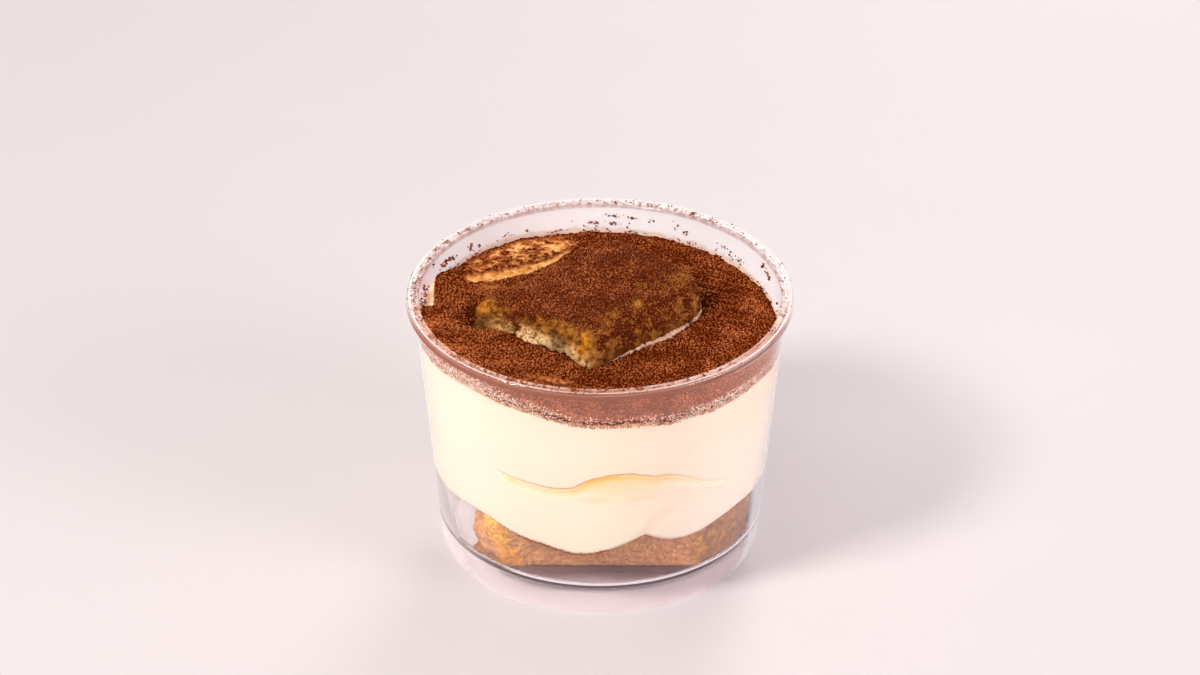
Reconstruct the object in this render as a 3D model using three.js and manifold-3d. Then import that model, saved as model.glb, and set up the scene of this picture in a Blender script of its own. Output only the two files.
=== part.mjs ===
// A tiramisu in its clear tapered cup: a soaked sponge finger on the raised floor of the cup, cream
// over it up to near the rim, a skin of cocoa, and a broken half finger set into the top.
// Millimetres, +Z up, the origin in the middle of the foot ring; -Y is the side where the cream
// hangs lowest in front of the sponge. Each piece keeps GAP to its neighbours.
import * as THREE from "three";
import { ParametricGeometry } from "three/addons/geometries/ParametricGeometry.js";
import { mergeVertices } from "three/addons/utils/BufferGeometryUtils.js";
import Module from "manifold-3d";

const GAP = 0.3;
const COLUMNS = 72; // facets round the cup and round what fills it
const FINGER_COLUMNS = 60; // facets round the broken half finger

// Cup
const CUP_HEIGHT = 68;
const RIM_RADIUS = 47.5;
const LIP_DROP = 1.9; // how far the rim's outer lip turns down
const LIP_THICKNESS = 0.7;
const FLANGE_THICKNESS = 0.95;
const FOOT_RADIUS = 39.7;
const WALL_SLOPE = 5.8 / 64; // outward run of the wall for each millimetre of height
const WALL = 1.0;
const FLOOR_TOP = 8.5;
const FLOOR_THICKNESS = 1.4;
const FLOOR_FILLET = 1.1;

// Cream
const CREAM_TOP = 58.5; // mean height of its upper face
const HEM_HEIGHT = 21.6; // mean height of its lower edge on the wall
const CREASE_DEPTH = 1.0;
const CREASE_HALF_WIDTH = 1.4;

// Rings of the upper face, from the middle outwards, shared by the cream and the cocoa on it
const TOP_RADII = [10, 18, 25, 31, 36, 40];

// Cocoa
const COCOA_THICKNESS = 1.1;

// Sponge finger on the floor: straight front and back, a broken end at -X, the wall at +X
const BASE_TOP = 22;
const BASE_FRONT = 32.2;
const BASE_BACK = 31;
const BASE_BROKEN_END = 31;

// Broken half finger on top: u runs from the broken face to the round end, v across
const HALF_TURN = 46; // degrees from +X to u
const HALF_CENTRE = new THREE.Vector2(0.3, 4.6);
const HALF_LENGTH = 23.5; // from the centre to the round end
const HALF_BREAK = 22.6; // from the centre to the broken face
const HALF_WIDTH = 19.4; // from the centre to either side
const HALF_BOTTOM = 55.8;
const HALF_TOP = 67.4;

const wasm = await Module();
wasm.setup();

const degrees = THREE.MathUtils.degToRad;
const bump = (value, middle, width) => Math.exp(-(((value - middle) / width) ** 2));

// An angle round the cup: 0 at the front (-Y), growing towards +X. Brought to -180..180 degrees.
const wrapped = (angle) => Math.atan2(Math.sin(angle), Math.cos(angle));
const inDegrees = (angle) => THREE.MathUtils.radToDeg(wrapped(angle));
const atAngle = (angle, radius, z) =>
  new THREE.Vector3(radius * Math.sin(angle), -radius * Math.cos(angle), z);

const outerRadius = (z) => FOOT_RADIUS + WALL_SLOPE * z;
const innerRadius = (z) => outerRadius(z) - WALL;
const fillRadius = (z) => innerRadius(z) - GAP;

// A closed skin wound round an upright axis. Each ring is a function from the angle to a point, and
// the first and last rings shrink to one point each.
function woundBody(rings, columns) {
  const steps = rings.length - 1;
  const skin = new ParametricGeometry(
    (turn, rise, point) => point.copy(rings[Math.round(rise * steps)](turn * 2 * Math.PI)),
    columns,
    steps,
  );
  return merged(skin);
}

function merged(geometry) {
  geometry.deleteAttribute("normal");
  geometry.deleteAttribute("uv");
  return mergeVertices(geometry, 1e-4);
}

function toSolid(geometry) {
  return new wasm.Manifold(
    new wasm.Mesh({
      numProp: 3,
      vertProperties: geometry.attributes.position.array,
      triVerts: new Uint32Array(geometry.index.array),
    }),
  );
}

function toGeometry(solid) {
  const mesh = solid.getMesh();
  const geometry = new THREE.BufferGeometry();
  geometry.setAttribute("position", new THREE.BufferAttribute(mesh.vertProperties, 3));
  geometry.setIndex(new THREE.BufferAttribute(mesh.triVerts, 1));
  return geometry;
}

const cut = (geometry, ...cutters) =>
  toGeometry(cutters.reduce((left, cutter) => left.subtract(toSolid(cutter)), toSolid(geometry)));

// Cup: one turned wall with a flanged rim, a floor set above the foot and an open skirt under it.
function cup() {
  const floorUnder = FLOOR_TOP - FLOOR_THICKNESS;
  const flangeUnder = CUP_HEIGHT - FLANGE_THICKNESS;
  const lipInside = RIM_RADIUS - LIP_THICKNESS;
  const rimInside = innerRadius(CUP_HEIGHT);
  const footInside = FOOT_RADIUS - WALL;
  const profile = [
    [0, floorUnder],
    [innerRadius(floorUnder) - FLOOR_FILLET / 2, floorUnder],
    [innerRadius(floorUnder), floorUnder - FLOOR_FILLET / 2],
    [footInside, 0.25],
    [footInside + 0.2, 0],
    [FOOT_RADIUS - 0.2, 0],
    [FOOT_RADIUS, 0.25],
    [outerRadius(flangeUnder - 0.4), flangeUnder - 0.4],
    [outerRadius(flangeUnder) + 0.4, flangeUnder],
    [lipInside, flangeUnder],
    [lipInside, CUP_HEIGHT - LIP_DROP],
    [RIM_RADIUS, CUP_HEIGHT - LIP_DROP],
    [RIM_RADIUS, CUP_HEIGHT - 0.4],
    [RIM_RADIUS - 0.4, CUP_HEIGHT],
    [rimInside + 0.4, CUP_HEIGHT],
    [rimInside - 0.05, CUP_HEIGHT - 0.5],
    [innerRadius(FLOOR_TOP + FLOOR_FILLET), FLOOR_TOP + FLOOR_FILLET],
    [innerRadius(FLOOR_TOP) - 0.3 * FLOOR_FILLET, FLOOR_TOP + 0.3 * FLOOR_FILLET],
    [innerRadius(FLOOR_TOP) - FLOOR_FILLET, FLOOR_TOP],
    [0, FLOOR_TOP],
  ];
  const points = profile.map(([radius, z]) => new THREE.Vector2(radius, z));
  return merged(new THREE.LatheGeometry(points, COLUMNS).rotateX(Math.PI / 2));
}

// Height of the cream's upper face. It is highest at -X, dips at the front, and steps up behind a
// swept line on the far left.
function creamTop(x, y) {
  const radius = Math.hypot(x, y);
  const reach = radius / fillRadius(CREAM_TOP);
  const angle = Math.atan2(x, -y);
  const tilt = (0.25 * y - 0.8 * x) / fillRadius(CREAM_TOP);
  const twoFold = 0.35 * reach ** 2 * Math.cos(2 * angle);
  const frontDip = 1.4 * reach ** 4 * bump(inDegrees(angle), 4, 15);
  const rightDip = 0.9 * reach ** 4 * bump(inDegrees(angle), 52, 24);
  const behindSweep = 0.876 * (y - 27) - 0.482 * (x + 20);
  const sweep = 1.1 * THREE.MathUtils.smoothstep(behindSweep, -1.5, 2.5) * bump(x, -24, 20);
  return CREAM_TOP + tilt + twoFold - frontDip - rightDip + sweep;
}

// Height of the cream's lower edge on the wall: a deep lobe at the front, a notch, a second lobe,
// and shallow lobes round the back.
function hem(angle) {
  const a = inDegrees(angle);
  const front = 3.8 * bump(a, -8, 20) + 1.3 * bump(a, 28, 9) - 2.4 * bump(a, 14.6, 3.6);
  const back = 1.3 * Math.sin(3.5 * Math.abs(wrapped(angle)) + 0.7) * Math.sin(angle / 2) ** 4;
  return HEM_HEIGHT - front + back;
}

// Height of the fold line round the side, and how deep it is pressed in there.
function crease(angle) {
  const a = inDegrees(angle);
  return 36.8 + 4.6 * bump(a, 8, 15) - 3.4 * bump(a, 50, 17) + 0.6 * bump(a, -36, 9);
}

function creaseDepth(angle) {
  const a = inDegrees(angle);
  return CREASE_DEPTH * (0.15 + 0.85 * bump(a, 8, 38) ** 0.5);
}

function cream() {
  const onWall = (height, depth = () => 0) => (angle) => {
    const z = height(angle);
    return atAngle(angle, fillRadius(z) - depth(angle), z);
  };
  const onTop = (radius) => (angle) => {
    const flat = atAngle(angle, radius, 0);
    return flat.setZ(creamTop(flat.x, flat.y));
  };
  const underside = (inset, lift) => (angle) =>
    atAngle(angle, fillRadius(HEM_HEIGHT) - inset, hem(angle) + lift);
  const rim = (angle) => {
    const flat = atAngle(angle, fillRadius(CREAM_TOP), 0);
    const z = creamTop(flat.x, flat.y) - 0.4;
    return atAngle(angle, fillRadius(z), z);
  };
  const rings = [
    () => new THREE.Vector3(0, 0, BASE_TOP - 2),
    (angle) => atAngle(angle, fillRadius(HEM_HEIGHT) / 2, BASE_TOP - 2),
    underside(8, 0.6),
    underside(3.2, -0.9),
    underside(1.1, -0.6),
    onWall((angle) => hem(angle) + 0.1),
    onWall((angle) => hem(angle) + 5),
    onWall((angle) => (hem(angle) + crease(angle)) / 2 + 2),
    onWall((angle) => crease(angle) - 1.6 * CREASE_HALF_WIDTH),
    onWall(crease, creaseDepth),
    onWall((angle) => crease(angle) + 0.7 * CREASE_HALF_WIDTH, (angle) => 0.25 * creaseDepth(angle)),
    onWall((angle) => crease(angle) + 2 * CREASE_HALF_WIDTH),
    onWall((angle) => (crease(angle) + CREAM_TOP) / 2),
    rim,
    onTop(fillRadius(CREAM_TOP) - 0.5),
    ...TOP_RADII.toReversed().map(onTop),
    () => new THREE.Vector3(0, 0, creamTop(0, 0)),
  ];
  return cut(woundBody(rings, COLUMNS), baseFinger(GAP), halfFinger(GAP));
}

// Cocoa: a thin skin over the whole upper face, open where the half finger stands through it.
function cocoa() {
  const reach = fillRadius(CREAM_TOP) - 0.05;
  const ring = (radius, lift) => (angle) => {
    const flat = atAngle(angle, radius, 0);
    const unevenness = lift > GAP ? clumps(flat.x, flat.y) : 0;
    return flat.setZ(creamTop(flat.x, flat.y) + lift + unevenness);
  };
  const clumps = (x, y) => 0.16 * Math.sin(0.61 * x + 1.3 * Math.sin(0.37 * y)) * Math.cos(0.53 * y - 0.7);
  const centre = creamTop(0, 0);
  const topLift = GAP + COCOA_THICKNESS;
  const rings = [
    () => new THREE.Vector3(0, 0, centre + GAP),
    ...TOP_RADII.map((radius) => ring(radius, GAP)),
    ring(reach, GAP),
    ring(reach, topLift - 0.35),
    ring(reach - 0.6, topLift),
    ...TOP_RADII.toReversed().map((radius) => ring(radius, topLift)),
    () => new THREE.Vector3(0, 0, centre + topLift),
  ];
  return cut(woundBody(rings, COLUMNS), halfFinger(GAP));
}

// Sponge finger on the floor. Grown by a margin it is also the cutter for the cream over it.
function baseFinger(margin = 0) {
  const crumb = (angle, z) => {
    const brokenEnd = bump(inDegrees(angle), -85, 48);
    const foot = 3.4 * bump(z, 9.4, 1.1) * bump(inDegrees(angle), -54, 6);
    const hollow = 1.5 * bump(z, 12.4, 1.2) * bump(inDegrees(angle), -50, 12);
    const grain = 0.55 * Math.sin(13 * angle + 1.1 * z) + 0.4 * Math.sin(23 * angle - 1.7 * z + 1);
    return foot - hollow + grain * (0.25 + 0.75 * brokenEnd);
  };
  const side = (z, inset) => (angle) => {
    const limits = [
      BASE_FRONT / Math.max(Math.cos(angle), 0.01),
      BASE_BACK / Math.max(-Math.cos(angle), 0.01),
      BASE_BROKEN_END / Math.max(-Math.sin(angle), 0.01),
    ];
    const radius = Math.min(...limits) + crumb(angle, z) - inset + margin;
    return atAngle(angle, Math.min(radius, fillRadius(z) - 0.5 * inset), z);
  };
  const bottom = FLOOR_TOP + GAP - margin;
  const rings = [
    () => new THREE.Vector3(0, 0, bottom),
    side(bottom, 1.2),
    side(FLOOR_TOP + 1.4, 0),
    side(12, 0),
    side(14.5, 0),
    side(17.5, 0),
    side(20.4, 0.2),
    side(BASE_TOP + margin, 1.3),
    () => new THREE.Vector3(0, 0, BASE_TOP + margin),
  ];
  return woundBody(rings, COLUMNS);
}

// Broken half finger: a rough broken face at -u, crusted round sides and a domed top.
function halfFinger(margin = 0) {
  const turn = degrees(HALF_TURN);
  const breakDistance = (off) => {
    const a = THREE.MathUtils.radToDeg(off);
    return HALF_BREAK + 6.4 * bump(a, 36, 8) - 3.4 * bump(a, -16, 4.5) - 0.9 * bump(a, -6, 9);
  };
  const outline = (theta) => {
    const along = Math.cos(theta);
    const across = Math.sin(theta);
    const length = along < 0 ? breakDistance(wrapped(Math.PI - theta)) : HALF_LENGTH;
    const squareness = along < 0 ? 12 : 2.9;
    const sum = Math.abs(along / length) ** squareness + Math.abs(across / HALF_WIDTH) ** squareness;
    return sum ** (-1 / squareness);
  };
  const level = (z, crustInset, breakInset) => (theta) => {
    const broken = THREE.MathUtils.smoothstep(-Math.cos(theta), 0.35, 0.85);
    const inset = THREE.MathUtils.lerp(crustInset, breakInset, broken);
    const grain = 0.5 * Math.sin(17 * theta + 1.3 * z) + 0.4 * Math.sin(29 * theta - 2.1 * z);
    const radius = outline(theta) - inset + grain * broken + margin;
    const u = radius * Math.cos(theta);
    const v = radius * Math.sin(theta);
    const x = HALF_CENTRE.x + u * Math.cos(turn) - v * Math.sin(turn);
    const y = HALF_CENTRE.y + u * Math.sin(turn) + v * Math.cos(turn);
    return new THREE.Vector3(x, y, z);
  };
  const pole = (z) => () => new THREE.Vector3(HALF_CENTRE.x, HALF_CENTRE.y, z);
  const rings = [
    pole(HALF_BOTTOM - margin),
    level(HALF_BOTTOM - margin, 1.4, 1.0),
    level(57.2, 0.2, 0),
    level(59.8, 0, 0),
    level(62.2, 0.5, 0.5),
    level(64.4, 1.7, 1.2),
    level(66, 3.6, 2.4),
    level(66.9 + margin / 2, 6.6, 5),
    level(67.3 + margin, 12, 11),
    pole(HALF_TOP + margin),
  ];
  return woundBody(rings, FINGER_COLUMNS);
}

const part = new THREE.Group();

function place(name, geometry, color, roughness, finish = {}) {
  geometry.computeVertexNormals();
  const material = new THREE.MeshStandardMaterial({ color, roughness, metalness: 0, ...finish });
  const mesh = new THREE.Mesh(geometry, material);
  mesh.name = name;
  part.add(mesh);
}

place("cup", cup(), 0xf2eef2, 0.08, { transparent: true, opacity: 0.3 });
place("ladyfinger_base", baseFinger(), 0xc08a58, 0.9);
place("cream", cream(), 0xfdf1dc, 0.45);
place("cocoa_layer", cocoa(), 0x7e3c1d, 0.95);
place("ladyfinger_top", halfFinger(), 0x8a4f22, 0.9);

export default part;
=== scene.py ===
import math

import bmesh
import bpy
import numpy as np
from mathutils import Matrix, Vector, noise
from mathutils.bvhtree import BVHTree


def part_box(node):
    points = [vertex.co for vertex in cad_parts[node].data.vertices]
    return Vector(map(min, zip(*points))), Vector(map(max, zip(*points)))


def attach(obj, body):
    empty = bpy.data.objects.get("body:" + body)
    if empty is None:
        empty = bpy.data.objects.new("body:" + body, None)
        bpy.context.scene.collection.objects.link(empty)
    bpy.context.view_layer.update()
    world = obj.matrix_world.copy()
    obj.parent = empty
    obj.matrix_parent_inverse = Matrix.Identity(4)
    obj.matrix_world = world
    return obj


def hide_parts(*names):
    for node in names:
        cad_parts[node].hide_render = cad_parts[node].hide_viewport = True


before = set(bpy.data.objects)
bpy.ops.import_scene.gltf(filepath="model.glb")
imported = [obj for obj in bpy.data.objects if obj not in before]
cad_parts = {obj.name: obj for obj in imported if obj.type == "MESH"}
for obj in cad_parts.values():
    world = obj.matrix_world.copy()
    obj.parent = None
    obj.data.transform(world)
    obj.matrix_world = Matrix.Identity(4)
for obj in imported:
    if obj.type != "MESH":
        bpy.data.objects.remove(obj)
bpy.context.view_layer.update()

# ---------------------------------------------------------------------------------------------
# Cup. Injection-moulded clear polystyrene, turned wall and floor in one piece, with a flanged rim
# for a lid and an open skirt under a raised floor. Cocoa clings to the wall above the filling, and
# a shadow of the sponge is painted on the floor. Lengths are in millimetres up to finish_mesh().
MM = 0.001
cup_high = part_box("cup")[1]
RIM_RADIUS = cup_high.x / MM
CUP_HEIGHT = cup_high.z / MM
FOOT_RADIUS = 39.7
WALL_SLOPE = 5.8 / 64
WALL = 1.0
FLOOR_TOP = 8.5
FLOOR_UNDER = 7.1
CUP_STEPS = 256
OUTSIDE = 60
CREAM_TOP = 58.5


def outer_radius(z):
    return FOOT_RADIUS + WALL_SLOPE * z


def inner_radius(z):
    return outer_radius(z) - WALL


FILL_RADIUS = inner_radius(CREAM_TOP)


def bump(value, middle, width):
    return math.exp(-(((value - middle) / width) ** 2))


def rise(value, low, high):
    """0 up to low, 1 from high, smooth between."""
    share = min(max((value - low) / (high - low), 0), 1)
    return share * share * (3 - 2 * share)


def between(value, table):
    """Straight-line lookup in rows of (value, result...)."""
    for (low, *first), (high, *second) in zip(table, table[1:]):
        if value <= high:
            share = max(0, (value - low) / (high - low))
            return [a + (b - a) * share for a, b in zip(first, second)]
    return table[-1][1:]


def angle_of(x, y):
    """Degrees round the cup: 0 at the front (-Y), growing towards +X."""
    return math.degrees(math.atan2(x, -y))


def wall_spot(angle, z, radius):
    a = math.radians(angle)
    return Vector((radius * math.sin(a), -radius * math.cos(a), z))


def behind_sweep(x, y):
    """Distance behind the line that a spoon swept in the cream's far left side."""
    return 0.876 * (y - 27) - 0.482 * (x + 20)


def along_sweep(x, y):
    return 0.876 * (x + 20) + 0.482 * (y - 27)


EDGE_LIFT = [  # angle, how far the cream climbs or sinks at the wall there
    (-180, -0.9), (-165, -1.3), (-150, -1.1), (-127, -1.0), (-110, -0.6), (-95, 0), (-75, 0.8),
    (-62, 1.2), (-50, 1.65), (-41, 1.75), (-33, 1.0), (-22, 0.6), (-16, -0.1), (-9, -0.7), (0, -0.3),
    (9, 0), (15, -0.5), (22, -1.7), (26, -1.2), (29, -0.9), (37, -1.1), (45, -0.4), (58, 0.1),
    (70, -0.9), (90, -0.6), (115, -0.6), (125, -0.3), (150, -0.3), (170, -0.5), (180, -0.9),
]


def cream_top(x, y):
    """Height of the cream that the cup is filled with, before the half finger is pressed in."""
    reach = math.hypot(x, y) / FILL_RADIUS
    angle = angle_of(x, y)
    tilt = (0.25 * y - 0.8 * x) / FILL_RADIUS
    two_fold = 0.35 * reach**2 * math.cos(2 * math.radians(angle))
    dips = reach**4 * (1.4 * bump(angle, 4, 15) + 0.9 * bump(angle, 52, 24))
    sweep = 1.1 * rise(behind_sweep(x, y), -1.5, 2.5) * bump(x, -24, 20)
    return CREAM_TOP + tilt + two_fold - dips + sweep + reach**6 * between(angle, EDGE_LIFT)[0]


def edge_height(angle):
    """Height of the cream where it meets the wall."""
    spot = wall_spot(angle, 0, FILL_RADIUS)
    return cream_top(spot.x, spot.y)


def spun(profile, steps):
    """A bmesh turned once round the upright axis from (radius, height) points."""
    body = bmesh.new()
    ring = [body.verts.new((radius, 0, z)) for radius, z in profile]
    wires = [body.edges.new(pair) for pair in zip(ring, ring[1:])]
    bmesh.ops.spin(
        body, geom=ring + wires, cent=(0, 0, 0), axis=(0, 0, 1), dvec=(0, 0, 0),
        angle=2 * math.pi, steps=steps, use_merge=True, use_normal_flip=False,
    )
    bmesh.ops.remove_doubles(body, verts=body.verts, dist=1e-4)
    bmesh.ops.recalc_face_normals(body, faces=body.faces)
    return body


def finish_mesh(body, name):
    """Scales a bmesh from millimetres to metres and puts it in the scene with smooth faces."""
    bmesh.ops.scale(body, vec=(MM, MM, MM), verts=body.verts)
    for face in body.faces:
        face.smooth = True
    mesh = bpy.data.meshes.new(name)
    body.to_mesh(mesh)
    body.free()
    piece = bpy.data.objects.new(name, mesh)
    bpy.context.scene.collection.objects.link(piece)
    return piece


class Wire:
    """One output of a shader node. Python operators on it add Math nodes."""

    def __init__(self, finish, socket):
        self.finish = finish
        self.socket = socket

    def maths(self, operation, *others):
        values = dict(zip(("Value", "Value_001", "Value_002"), others))
        return self.finish.node("ShaderNodeMath", {"operation": operation}, values)["Value"]

    def __add__(self, other):
        return self.maths("ADD", self, other)

    def __radd__(self, other):
        return self.maths("ADD", other, self)

    def __sub__(self, other):
        return self.maths("SUBTRACT", self, other)

    def __rsub__(self, other):
        return self.maths("SUBTRACT", other, self)

    def __mul__(self, other):
        return self.maths("MULTIPLY", self, other)

    def __rmul__(self, other):
        return self.maths("MULTIPLY", other, self)

    def step(self, low, high, at_low=0.0, at_high=1.0):
        """A smooth rise from at_low to at_high while this value goes from low to high."""
        settings = {"interpolation_type": "SMOOTHSTEP", "clamp": True}
        values = {"Value": self, "From Min": low, "From Max": high, "To Min": at_low, "To Max": at_high}
        return self.finish.node("ShaderNodeMapRange", settings, values)["Result"]

    def band(self, start, full, fading, gone):
        """1 between full and fading, 0 before start and after gone."""
        return self.step(start, full) * self.step(gone, fading)


class Finish:
    """A procedural material: a Principled shader, and one method that adds any other node."""

    def __init__(self, name, **values):
        self.material = bpy.data.materials.new(name)
        self.material.use_nodes = True
        self.tree = self.material.node_tree
        self.shader = self.tree.nodes["Principled BSDF"]
        self.place = self.node("ShaderNodeTexCoord")["Object"]
        parts = self.node("ShaderNodeSeparateXYZ", None, {"Vector": self.place})
        self.x, self.y, self.z = (parts[axis] * (1 / MM) for axis in "XYZ")
        for key, value in values.items():
            self.feed(self.shader.inputs[key.replace("_", " ").title().replace("Ior", "IOR")], value)

    def feed(self, socket, value):
        if isinstance(value, Wire):
            self.tree.links.new(value.socket, socket)
        elif isinstance(value, tuple) and len(value) == 3 and socket.type == "RGBA":
            socket.default_value = (*value, 1)
        else:
            socket.default_value = value

    def node(self, kind, settings=None, values=None):
        made = self.tree.nodes.new(kind)
        for key, value in (settings or {}).items():
            setattr(made, key, value)
        sockets = {socket.identifier: socket for socket in made.inputs}
        for key, value in (values or {}).items():
            self.feed(sockets[key], value)
        return {socket.identifier: Wire(self, socket) for socket in made.outputs}

    def noise(self, size, detail=3.0, roughness=0.55, place=None):
        """Cloudy noise from about 0 to 1, its blobs about that many millimetres wide."""
        values = {"Vector": place or self.place, "Scale": 1 / (size * MM), "Detail": detail,
                  "Roughness": roughness}
        return self.node("ShaderNodeTexNoise", None, values)["Fac"]

    def cells(self, size, feature="F1"):
        """Distance to the nearest of scattered points, about that many millimetres apart."""
        values = {"Vector": self.place, "Scale": 1 / (size * MM)}
        return self.node("ShaderNodeTexVoronoi", {"feature": feature}, values)["Distance"]

    def blend(self, factor, first, second):
        """The first colour where factor is 0, the second where it is 1."""
        values = {"Factor_Float": factor, "A_Color": first, "B_Color": second}
        return self.node("ShaderNodeMix", {"data_type": "RGBA"}, values)["Result_Color"]

    def attribute(self, name):
        return self.node("ShaderNodeAttribute", {"attribute_name": name})["Fac"]

    def coat(self, colour, kind="ShaderNodeBsdfDiffuse"):
        """A shader of one colour, matt unless another kind is named."""
        return self.node(kind, None, {"Color": colour})["BSDF"]

    def covered(self, under, share, film):
        """The shader under with that share of it covered by a film: a shader or a matt colour."""
        top = film if isinstance(film, Wire) else self.coat(film)
        values = {"Fac": share, "Shader": under, "Shader_001": top}
        return self.node("ShaderNodeMixShader", None, values)["Shader"]

    def two_tone(self, share, first, second):
        """Matt, in the first colour where share is 0 and in the second where it is 1."""
        return self.covered(self.coat(first), share, second)

    def bumped(self, height, depth, strength=1.0):
        """Feeds the shader's normal from a height, depth in millimetres."""
        values = {"Height": height, "Distance": depth * MM, "Strength": strength}
        self.feed(self.shader.inputs["Normal"], self.node("ShaderNodeBump", None, values)["Normal"])


flange_under = CUP_HEIGHT - 0.95
cup_profile = [
    (0, FLOOR_TOP), (20, FLOOR_TOP), (38.4, FLOOR_TOP), (38.9, 8.55), (39.2, 8.7), (39.4, 9.0),
    (inner_radius(10), 10), (inner_radius(30), 30), (inner_radius(50), 50),
    (inner_radius(65.4), 65.4), (44.55, 66.4), (44.45, 67.2), (44.5, 67.6), (44.75, 67.82), (45.1, 67.78),
    (45.4, 67.64), (46.15, 67.64), (46.45, 67.82), (46.75, CUP_HEIGHT), (47.05, 67.9), (47.3, 67.6),
    (RIM_RADIUS, 67.1), (RIM_RADIUS, 66.5),
    (47.35, 66.15), (47.0, 66.15), (46.85, 66.5), (46.7, flange_under - 0.15), (46.3, flange_under),
    (45.95, 66.9), (45.75, 66.4), (outer_radius(64), 64), (outer_radius(45), 45),
    (outer_radius(25), 25), (outer_radius(9), 9), (outer_radius(5), 5), (FOOT_RADIUS, 0.45),
    (39.55, 0.12), (39.25, 0), (38.95, 0.1), (38.8, 0.45), (38.85, 2), (39.15, 6.6), (39.0, 6.95),
    (38.6, FLOOR_UNDER), (20, FLOOR_UNDER), (0, FLOOR_UNDER),
]
cup_body = spun(cup_profile, CUP_STEPS)
over_cream = cup_body.verts.layers.float.new("over_cream")
from_axis = cup_body.verts.layers.float.new("from_axis")
for vert in cup_body.verts:
    reach, z = math.hypot(vert.co.x, vert.co.y), vert.co.z
    inside = z > FLOOR_UNDER + 0.5 and reach < outer_radius(z) - 0.5
    vert[from_axis] = reach
    vert[over_cream] = z - edge_height(angle_of(vert.co.x, vert.co.y)) if inside else OUTSIDE
cup = finish_mesh(cup_body, "cup_clear_wall")

clear = Finish("clear_plastic", base_color=(0.99, 0.972, 0.976), roughness=0.02, ior=1.36,
               transmission_weight=1.0)
above = clear.attribute("over_cream")
radius = clear.attribute("from_axis")
outside = above.step(0.5 * OUTSIDE, OUTSIDE - 10.0)
sideways = clear.node("ShaderNodeMath", {"operation": "ABSOLUTE"}, {"Value": clear.x})["Value"]
facing = clear.node("ShaderNodeLayerWeight", None, {"Blend": 0.5})["Facing"]
smudges = clear.noise(2.0, 5.0, 0.7)
flecked = clear.noise(0.7, 3.0, 0.7)
smeared = clear.noise(1.6, 4.0, 0.7)

# Cocoa and cream smeared on the inside of the wall, over the filling.
front = clear.y.step(6.0, -18.0)
veil = above.band(-1.0, 0.6, 7.2, 8.6) * front
veil = veil * (smudges.step(0.33, 0.68, 0.10, 0.30) + flecked.step(0.44, 0.62) * 0.08)
pale_veil = above.band(-0.3, 0.3, 1.6, 4.6) * front * flecked.step(0.4, 0.66) * 0.34
back_veil = above.step(0.1, 0.5) * (above - smeared * 3.4).step(0.9, 0.4) * clear.y.step(-20.0, 0.0) * 0.75

# Behind, the wall is seen against the light and glows a little: a painted glow, a white film, matt and partly
# translucent, pink towards -X.
back_wall = above.band(0.1, 0.6, 10.5, 12.0) * clear.y.step(-22.0, 12.0) * 0.75
white_glow, pink_glow = (
    clear.covered(clear.coat(colour), 0.4, clear.coat(colour, "ShaderNodeBsdfTranslucent"))
    for colour in ((1.0, 0.98, 0.99), (0.93, 0.76, 0.78))
)
back_glow = clear.covered(white_glow, clear.x.step(-38.0, -43.5), pink_glow)

# The flange, dusty in front and clean behind, with a bead at its inner and at its outer side. The pale films
# over the beads are painted highlights, peach where dust tints them in front; behind, the inner bead has a
# mauve line.
near_side = clear.y.step(5.0, -22.0)
dusty_left = clear.x.step(-28.0, -40.0)
dusty_front = clear.y.step(-43.0, -46.0)
inner_bead = radius.step(45.4, 45.1)
outer_bead = radius.band(46.15, 46.45, 46.95, 47.15)
outer_edge = radius.step(46.98, 47.2)
flange = near_side.step(0.0, 1.0, 0.52, 0.45) + outer_bead * 0.22 - outer_edge * 0.35
flange = clear.z.step(67.2, 67.5) * flange
far_film = clear.two_tone(dusty_left, (0.96, 0.91, 0.93), (0.92, 0.77, 0.77))
inner_bead_highlight_and_line = clear.two_tone(near_side, (0.80, 0.66, 0.66), (0.97, 0.66, 0.50))
outer_bead_highlight_and_dust = clear.two_tone(dusty_front, (1.0, 0.88, 0.85), (0.96, 0.64, 0.47))
flange_film = clear.covered(far_film, near_side, (0.80, 0.42, 0.31))
flange_film = clear.covered(flange_film, inner_bead, inner_bead_highlight_and_line)
flange_film = clear.covered(flange_film, outer_bead, outer_bead_highlight_and_dust)
edge_face = clear.z.band(65.9, 66.1, 67.1, 67.4) * radius.step(45.9, 46.1) * near_side
edge_face = edge_face * clear.x.step(22.0, 40.0, 0.7, 0.2)
lip_line = radius.step(45.2, 44.9) * clear.z.band(66.3, 66.8, 67.6, 67.75)
lip_line = lip_line * clear.y.step(-25.0, -5.0) * smeared.step(0.35, 0.6, 0.2, 0.6)
rim_dust = clear.z.step(67.3, 67.6) * radius.step(46.6, 46.1) * smeared.step(0.46, 0.62) * 0.5

# The foot: a bright ring of painted highlight and dark lines of painted shade at the floor, and a painted
# shadow of the sponge on the floor.
foot_ring = clear.z.band(8.5, 8.7, 9.2, 9.4) * outside * clear.x.step(-26.0, -20.0) * 0.85
foot_line = clear.z.band(7.75, 7.95, 8.5, 8.65) * outside * sideways.step(36.0, 12.0, 0.3, 0.8)
left_line = clear.z.band(7.8, 8.1, 9.0, 9.3) * outside * clear.x.step(-20.0, -25.0) * 0.6
# A painted shadow of the sponge on the cup's floor, darkest near the sponge.
sponge_shadow = clear.z.band(8.2, 8.4, 8.6, 8.8) * clear.y.step(-25.0, -31.0)
sponge_shadow = sponge_shadow * clear.y.step(-39.0, -33.5, 0.45, 0.85)
skirt = clear.z.step(8.2, 5.0, 0.025, 0.2)

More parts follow.
